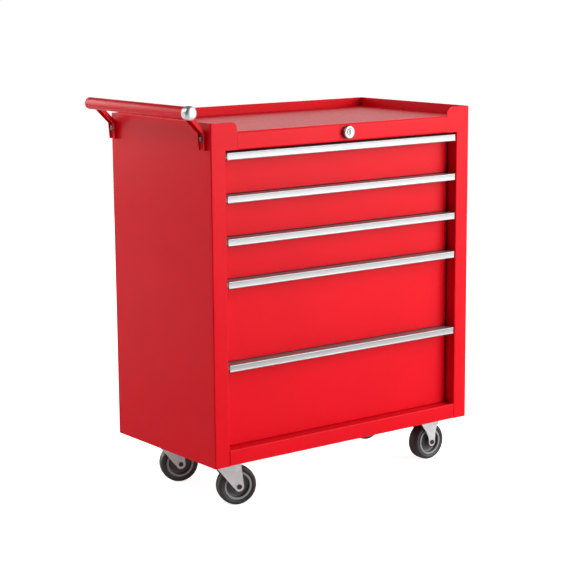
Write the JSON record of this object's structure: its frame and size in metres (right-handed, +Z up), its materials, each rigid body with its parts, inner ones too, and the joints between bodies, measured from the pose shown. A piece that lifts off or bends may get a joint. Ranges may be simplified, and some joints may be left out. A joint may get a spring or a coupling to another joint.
{
  "type": "rolling tool cart",
  "caption": "Rolling steel tool cart with a recessed top, stacked sliding drawers with full-width pulls, a key lock, a side push handle, and swivel and rigid casters.",
  "frame": {"origin": "the middle of the bounding box of the whole cart, at floor level under the wheels", "axes": "+X from the handle side to the plain side, +Y from the drawer fronts to the back, +Z up"},
  "size_m": [0.669, 0.3494, 0.7526],
  "materials": {
    "red_paint": "satin red powder coat on folded steel sheet",
    "pull_metal": "satin anodised extrusion",
    "lock_chrome": "polished",
    "cap_chrome": "bright polished, guessed as plated",
    "zinc_plate": "dull zinc plate",
    "caster_zinc": "bright zinc plate",
    "tyre_rubber": "matt black, faintly worn tread",
    "hub_plastic": "dark grey moulding"
  },
  "bodies": {
    "cabinet": {"left_side_panel": "red_paint", "right_side_panel": "red_paint", "left_slide_rack": "zinc_plate", "right_slide_rack": "zinc_plate", "back_panel": "red_paint", "top_panel": "red_paint", "base_panel": "red_paint", "lock_cylinder": "lock_chrome", "handle_tube": "red_paint", "handle_cap": "cap_chrome", "handle_bracket_front": "red_paint", "handle_bolt_front": "zinc_plate", "handle_bracket_rear": "red_paint", "handle_bolt_rear": "zinc_plate", "caster_front_left_plate": "caster_zinc", "caster_front_left_kingpin": "caster_zinc", "caster_front_right_fork": "caster_zinc", "caster_front_right_axle": "zinc_plate", "caster_back_left_plate": "caster_zinc", "caster_back_left_kingpin": "caster_zinc", "caster_back_right_fork": "caster_zinc", "caster_back_right_axle": "zinc_plate"},
    "drawer_1_body": {"drawer_1": "red_paint", "drawer_1_pull": "pull_metal", "drawer_1_rail_left": "zinc_plate", "drawer_1_rail_right": "zinc_plate"},
    "drawer_2_body": {"drawer_2": "red_paint", "drawer_2_pull": "pull_metal", "drawer_2_rail_left": "zinc_plate", "drawer_2_rail_right": "zinc_plate"},
    "drawer_3_body": {"drawer_3": "red_paint", "drawer_3_pull": "pull_metal", "drawer_3_rail_left": "zinc_plate", "drawer_3_rail_right": "zinc_plate"},
    "drawer_4_body": {"drawer_4": "red_paint", "drawer_4_pull": "pull_metal", "drawer_4_rail_left": "zinc_plate", "drawer_4_rail_right": "zinc_plate"},
    "drawer_5_body": {"drawer_5": "red_paint", "drawer_5_pull": "pull_metal", "drawer_5_rail_left": "zinc_plate", "drawer_5_rail_right": "zinc_plate"},
    "lock_turn_body": {"lock_plug": "lock_chrome", "lock_rod": "zinc_plate"},
    "lock_bar_body": {"lock_bar": "zinc_plate"},
    "swivel_front_left": {"caster_front_left_fork": "caster_zinc", "caster_front_left_axle": "zinc_plate"},
    "wheel_front_left": {"caster_front_left_hub": "hub_plastic", "caster_front_left_tyre": "tyre_rubber"},
    "wheel_front_right": {"caster_front_right_hub": "hub_plastic", "caster_front_right_tyre": "tyre_rubber"},
    "swivel_back_left": {"caster_back_left_fork": "caster_zinc", "caster_back_left_axle": "zinc_plate"},
    "wheel_back_left": {"caster_back_left_hub": "hub_plastic", "caster_back_left_tyre": "tyre_rubber"},
    "wheel_back_right": {"caster_back_right_hub": "hub_plastic", "caster_back_right_tyre": "tyre_rubber"}
  },
  "joints": [
    {"name": "drawer_1_slide", "type": "slide", "parent": "cabinet", "child": "drawer_1_body", "axis": [0, -1, 0], "range_m": [0, 0.2]},
    {"name": "drawer_2_slide", "type": "slide", "parent": "cabinet", "child": "drawer_2_body", "axis": [0, -1, 0], "range_m": [0, 0.2]},
    {"name": "drawer_3_slide", "type": "slide", "parent": "cabinet", "child": "drawer_3_body", "axis": [0, -1, 0], "range_m": [0, 0.2]},
    {"name": "drawer_4_slide", "type": "slide", "parent": "cabinet", "child": "drawer_4_body", "axis": [0, -1, 0], "range_m": [0, 0.2]},
    {"name": "drawer_5_slide", "type": "slide", "parent": "cabinet", "child": "drawer_5_body", "axis": [0, -1, 0], "range_m": [0, 0.2]},
    {"name": "lock_turn", "type": "hinge", "parent": "cabinet", "child": "lock_turn_body", "pos_m": [0.02705, -0.1663, 0.687], "axis": [0, 1, 0], "range_deg": [0, 90]},
    {"name": "lock_bar_slide", "type": "slide", "parent": "cabinet", "child": "lock_bar_body", "axis": [0, 0, -1], "range_m": [0, 0.008]},
    {"name": "swivel_front_left_turn", "type": "hinge", "parent": "cabinet", "child": "swivel_front_left", "pos_m": [-0.22245, -0.0983, 0.09], "axis": [0, 0, 1], "continuous": true},
    {"name": "wheel_front_left_spin", "type": "hinge", "parent": "swivel_front_left", "child": "wheel_front_left", "pos_m": [-0.19361, -0.10657, 0.0375], "axis": [0.2756, 0.9613, 0], "continuous": true},
    {"name": "swivel_back_left_turn", "type": "hinge", "parent": "cabinet", "child": "swivel_back_left", "pos_m": [-0.22245, 0.0957, 0.09], "axis": [0, 0, 1], "continuous": true},
    {"name": "wheel_back_left_spin", "type": "hinge", "parent": "swivel_back_left", "child": "wheel_back_left", "pos_m": [-0.19426, 0.08544, 0.0375], "axis": [0.342, 0.9397, 0], "continuous": true},
    {"name": "wheel_front_right_spin", "type": "hinge", "parent": "cabinet", "child": "wheel_front_right", "pos_m": [0.28855, -0.0983, 0.0375], "axis": [0, 1, 0], "continuous": true},
    {"name": "wheel_back_right_spin", "type": "hinge", "parent": "cabinet", "child": "wheel_back_right", "pos_m": [0.28855, 0.0957, 0.0375], "axis": [0, 1, 0], "continuous": true}
  ],
  "couplings": [
    {"joint": "lock_turn", "follows": "lock_bar_slide", "rad_per_m": 196.3}
  ]
}
